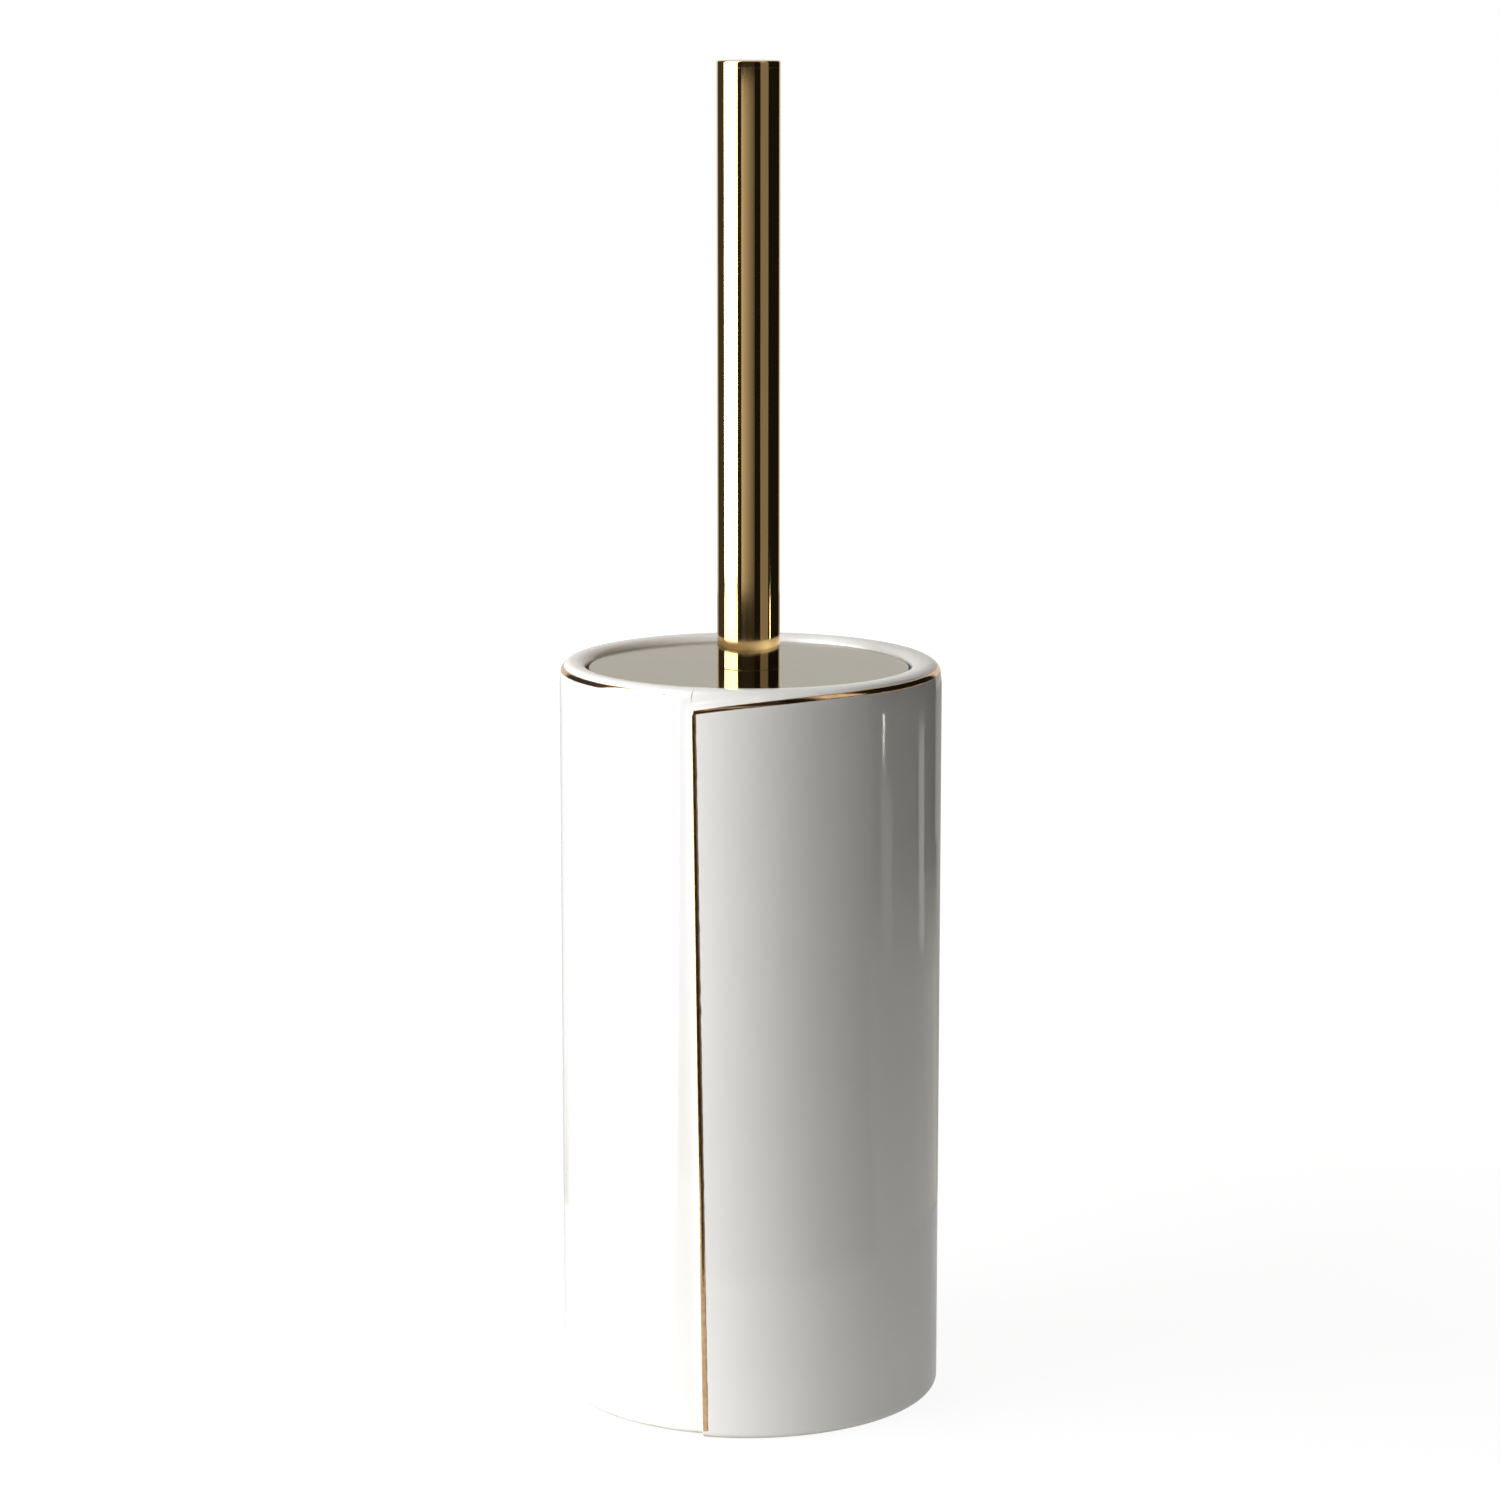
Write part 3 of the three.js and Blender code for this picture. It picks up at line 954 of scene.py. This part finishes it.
def wall_card(name, start, end, strength, color=WARM, bottom=-0.02, top=WALL_TOP):
    """A stretch of wall. One that doesn't start at the floor stands just inside the others."""
    radius = WALL_RADIUS if bottom < 0 else WALL_RADIUS - 0.01
    return card(name, start, end, (radius, bottom), (radius, top), strength, color)


def table_card(name, start, end, strength, color=WARM, near=NEAR_TABLE, far=WALL_RADIUS, level=1):
    """A stretch of table that only gloss sees, so that it adds no light of its own."""
    obj = card(name, start, end, (near, level * MM), (far, level * MM), strength, color)
    obj.visible_diffuse = False
    return obj


def room():
    for name, start, end, wall, table, near, tint in ROOM:
        if wall:
            wall_card(f"{name}_wall", start, end, wall, tint)
        table_card(f"{name}_table", start, end, table, tint, near)
    start, end, count = FRONT_CARD
    step = (end - start) / count
    for i in range(count):
        strength = FRONT_BRIGHT + (FRONT_DIM - FRONT_BRIGHT) * (i / (count - 1)) ** 0.8
        low = start + i * step
        wall_card(f"front_wall_{i + 1}", low, low + step, strength, top=FRONT_CARD_TOP)
    table_card("front_table", start, end, FRONT_DARK)
    for name, start, end, strength, tint, bottom, top in HIGH_WALLS:
        wall_card(name, start, end, strength, tint, bottom, top).visible_diffuse = False
    right_sweep()
    for name, start, end, strength, near, far in GLINTS:
        table_card(name, start, end, strength, near=near, far=far, level=2)


def right_sweep():
    """The pale table to the right, in bands of which each is dimmer than the one nearer."""
    start, end, bright = RIGHT_SWEEP
    for i in range(RIGHT_SWEEP_STEPS):
        near = RIGHT_SWEEP_FADE + RIGHT_SWEEP_STEP * i if i else NEAR_TABLE
        far = RIGHT_SWEEP_FADE + RIGHT_SWEEP_STEP * (i + 1)
        strength = bright * (1 - i / RIGHT_SWEEP_STEPS)
        table_card(f"right_sweep_{i + 1}", start, end, strength, near=near, far=far, level=1.5)


def key_light():
    """The big softbox, left of the camera."""
    middle = math.radians((KEY_START + KEY_END) / 2)
    half = math.radians((KEY_END - KEY_START) / 2)
    data = bpy.data.lights.new("key_softbox", "AREA")
    data.shape = "RECTANGLE"
    data.size = 2 * KEY_DISTANCE * math.tan(half)
    data.size_y = KEY_HEIGHT
    data.energy = KEY_RADIANCE * math.pi * data.size * data.size_y
    data.color = (1, 1, 1)
    obj = bpy.data.objects.new("key_softbox", data)
    obj.location = (KEY_DISTANCE * math.sin(middle), -KEY_DISTANCE * math.cos(middle), KEY_HEIGHT / 2)
    obj.rotation_euler = (math.radians(90), 0, middle)
    obj.visible_camera = False
    bpy.context.scene.collection.objects.link(obj)


def disc(name, radius, height, material):
    bm = bmesh.new()
    bmesh.ops.create_circle(bm, cap_ends=True, segments=96, radius=radius)
    mesh = bpy.data.meshes.new(name)
    bm.to_mesh(mesh)
    bm.free()
    mesh.materials.append(material)
    obj = bpy.data.objects.new(name, mesh)
    obj.location.z = height
    bpy.context.scene.collection.objects.link(obj)
    return obj


def floor():
    """A pale floor with a faint shadow, and under it the table as the light and the gloss see it."""
    material = bpy.data.materials.new("pale_floor")
    material.use_nodes = True
    tree = material.node_tree
    tree.nodes.clear()
    paint = tree.nodes.new("ShaderNodeBsdfDiffuse")
    paint.inputs["Color"].default_value = (0.12, 0.12, 0.12, 1)
    place = tree.nodes.new("ShaderNodeTexCoord")
    distance = tree.nodes.new("ShaderNodeVectorMath")
    distance.operation = "LENGTH"
    tree.links.new(place.outputs["Object"], distance.inputs[0])
    fade = tree.nodes.new("ShaderNodeMapRange")
    fade.interpolation_type = "SMOOTHSTEP"
    for socket, value in (
        ("From Min", FLOOR_FADE[0]),
        ("From Max", FLOOR_FADE[1]),
        ("To Min", FLOOR_NEAR),
        ("To Max", 1.0),
    ):
        fade.inputs[socket].default_value = value
    tree.links.new(distance.outputs["Value"], fade.inputs["Value"])
    lift = tree.nodes.new("ShaderNodeEmission")
    tree.links.new(fade.outputs["Result"], lift.inputs["Strength"])
    lit = tree.nodes.new("ShaderNodeAddShader")
    out = tree.nodes.new("ShaderNodeOutputMaterial")
    tree.links.new(paint.outputs["BSDF"], lit.inputs[0])
    tree.links.new(lift.outputs["Emission"], lit.inputs[1])
    tree.links.new(lit.outputs["Shader"], out.inputs["Surface"])
    shown = disc("pale_floor", FLOOR_RADIUS, 0, material)
    shown.visible_diffuse = False
    shown.visible_glossy = False
    near_finish = Finish("near_table", (0.8, 0.79, 0.77), 0.9, Emission_Strength=0.3)
    far_finish = Finish("far_table", (0.3, 0.29, 0.28), 0.9)
    near = disc("near_table", PALE_TABLE_RADIUS, -0.1 * MM, near_finish.material)
    far = disc("far_table", WALL_RADIUS, -0.3 * MM, far_finish.material)
    for table in (near, far):
        table.visible_camera = False


def surround():
    """White to the camera, and dim to everything else, so that the cards shape the light."""
    world = bpy.data.worlds.new("surround")
    world.use_nodes = True
    tree = world.node_tree
    seen = tree.nodes["Background"]
    seen.inputs["Color"].default_value = (1, 1, 1, 1)
    unseen = tree.nodes.new("ShaderNodeBackground")
    unseen.inputs["Color"].default_value = (1, 0.97, 0.93, 1)
    unseen.inputs["Strength"].default_value = UNSEEN_SKY
    path = tree.nodes.new("ShaderNodeLightPath")
    choose = tree.nodes.new("ShaderNodeMixShader")
    tree.links.new(path.outputs["Is Camera Ray"], choose.inputs["Fac"])
    tree.links.new(unseen.outputs["Background"], choose.inputs[1])
    tree.links.new(seen.outputs["Background"], choose.inputs[2])
    tree.links.new(choose.outputs["Shader"], tree.nodes["World Output"].inputs["Surface"])
    bpy.context.scene.world = world


def studio():
    bpy.context.scene.view_settings.view_transform = "Standard"
    surround()
    key_light()
    room()
    floor()


def camera():
    """A long lens over a metre away, a little above the handle's top and tilted down."""
    data = bpy.data.cameras.new("camera")
    data.sensor_width = 36
    data.lens = CAMERA_LENS
    obj = bpy.data.objects.new("camera", data)
    obj.location = CAMERA_PLACE
    obj.rotation_euler = (math.radians(90 - CAMERA_TILT), 0, 0)
    bpy.context.scene.collection.objects.link(obj)
    bpy.context.scene.camera = obj


# --- the whole set ---

glaze = porcelain_finish()
gold = gold_finish()
lustre = lustre_finish()
steel = steel_finish()
white_plastic = plastic_finish("white_plastic", (0.80, 0.80, 0.785), (0.86, 0.86, 0.85), 0.42)
black_plastic = plastic_finish("black_plastic", (0.018, 0.018, 0.018), (0.03, 0.03, 0.03), 0.45)
nylon = bristle_finish()

camera()
porcelain_holder(glaze)
gold_rim_line(lustre)
gold_seam_line(lustre)
base_pad(foam_finish())
drip_cup(white_plastic)
lid_plate(lid_finish())
lid_bush(black_plastic)
handle(gold, white_plastic)
stem_rod(steel)
retaining_clip(steel)
brush_core(white_plastic, steel)
bristle_rows(nylon)
tip_tufts(nylon)
studio()
